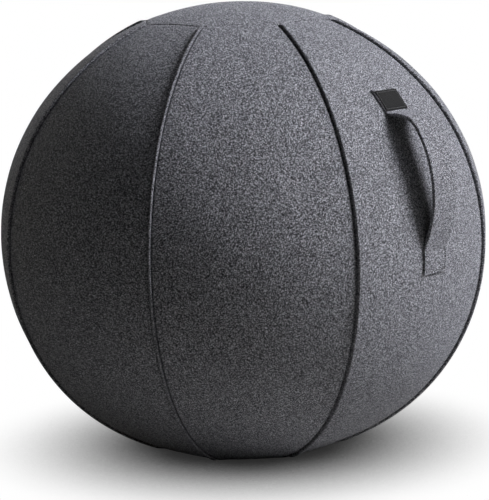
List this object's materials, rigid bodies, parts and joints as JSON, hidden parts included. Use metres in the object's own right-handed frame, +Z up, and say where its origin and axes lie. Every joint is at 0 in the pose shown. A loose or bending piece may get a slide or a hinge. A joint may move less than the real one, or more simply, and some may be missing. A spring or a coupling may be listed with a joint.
{
  "type": "balance ball chair",
  "caption": "Felt-covered balance ball seat: panelled cover with corded seams over an inflated ball, flat weighted foot, strap handle on one side and a zip at the back.",
  "frame": {"origin": "centre of the flat foot, on the floor", "axes": "+Z up; the panel that carries the handle faces -Y; +X to the right of that panel seen from the front"},
  "size_m": [0.632, 0.6503, 0.5829],
  "materials": {
    "cover_felt": "marled grey wool-look felt, matt",
    "piping_felt": "same felt rolled into a bead",
    "handle_felt": "same felt, doubled and stitched",
    "label": "dark bare patch, stitched round",
    "base_cloth": "black non-slip cloth with moulded dots",
    "lining": "black lining cloth",
    "iron": "bare iron bar",
    "ball_skin": "soft PVC skin, satin",
    "valve_plastic": "soft white moulding",
    "zip_tape": "woven tape",
    "zip_teeth": "moulded coil, satin",
    "zip_metal": "black enamelled die casting"
  },
  "bodies": {
    "cover": {"ballast_ring": "iron", "base_panel": "base_cloth", "bladder": "ball_skin", "cover_panel_back": "cover_felt", "cover_panel_back_left": "cover_felt", "cover_panel_back_right": "cover_felt", "cover_panel_front": "cover_felt", "cover_panel_front_left": "cover_felt", "cover_panel_front_right": "cover_felt", "cover_panel_left": "cover_felt", "cover_panel_right": "cover_felt", "cover_top_panel": "cover_felt", "handle_lower_bend": "handle_felt", "handle_lower_end": "handle_felt", "handle_upper_bend": "handle_felt", "handle_upper_end": "handle_felt", "label_patch": "label", "ring_sleeve": "lining", "seam_piping_back_left": "piping_felt", "seam_piping_back_right_lower": "piping_felt", "seam_piping_back_right_upper": "piping_felt", "seam_piping_front_left": "piping_felt", "seam_piping_front_right": "piping_felt", "seam_piping_left_back": "piping_felt", "seam_piping_left_front": "piping_felt", "seam_piping_right_back": "piping_felt", "seam_piping_right_front": "piping_felt", "valve_seat": "valve_plastic", "zip_lower_stop": "zip_metal", "zip_tape_left": "zip_tape", "zip_tape_right": "zip_tape", "zip_teeth_left": "zip_teeth", "zip_teeth_right": "zip_teeth", "zip_upper_stop": "zip_metal"},
    "handle_grip": {"handle_grip": "handle_felt"},
    "zip_slider": {"zip_slider": "zip_metal"},
    "zip_pull_tab": {"zip_pull_tab": "zip_metal"},
    "valve_plug": {"valve_plug": "valve_plastic"}
  },
  "joints": [
    {"name": "handle_swing", "type": "hinge", "parent": "cover", "child": "handle_grip", "pos_m": [0, -0.26144, 0.45513], "axis": [0, -0.3278, -0.9447], "range_deg": [-30, 30], "stiffness_Nm_per_rad": 0.2, "deforming": ["handle_upper_bend", "handle_lower_bend"]},
    {"name": "zip_run", "type": "hinge", "parent": "cover", "child": "zip_slider", "pos_m": [0.01334, 0.0322, 0.28285], "axis": [0.9239, -0.3827, 0], "range_deg": [0, 47.8]},
    {"name": "pull_tab_swing", "type": "hinge", "parent": "zip_slider", "child": "zip_pull_tab", "pos_m": [0.07602, 0.18353, 0.04408], "axis": [0.9239, -0.3827, 0], "range_deg": [-43, 112]},
    {"name": "plug_pull", "type": "slide", "parent": "cover", "child": "valve_plug", "axis": [-0.328, 0.7919, -0.515], "range_m": [0, 0.0025]}
  ]
}
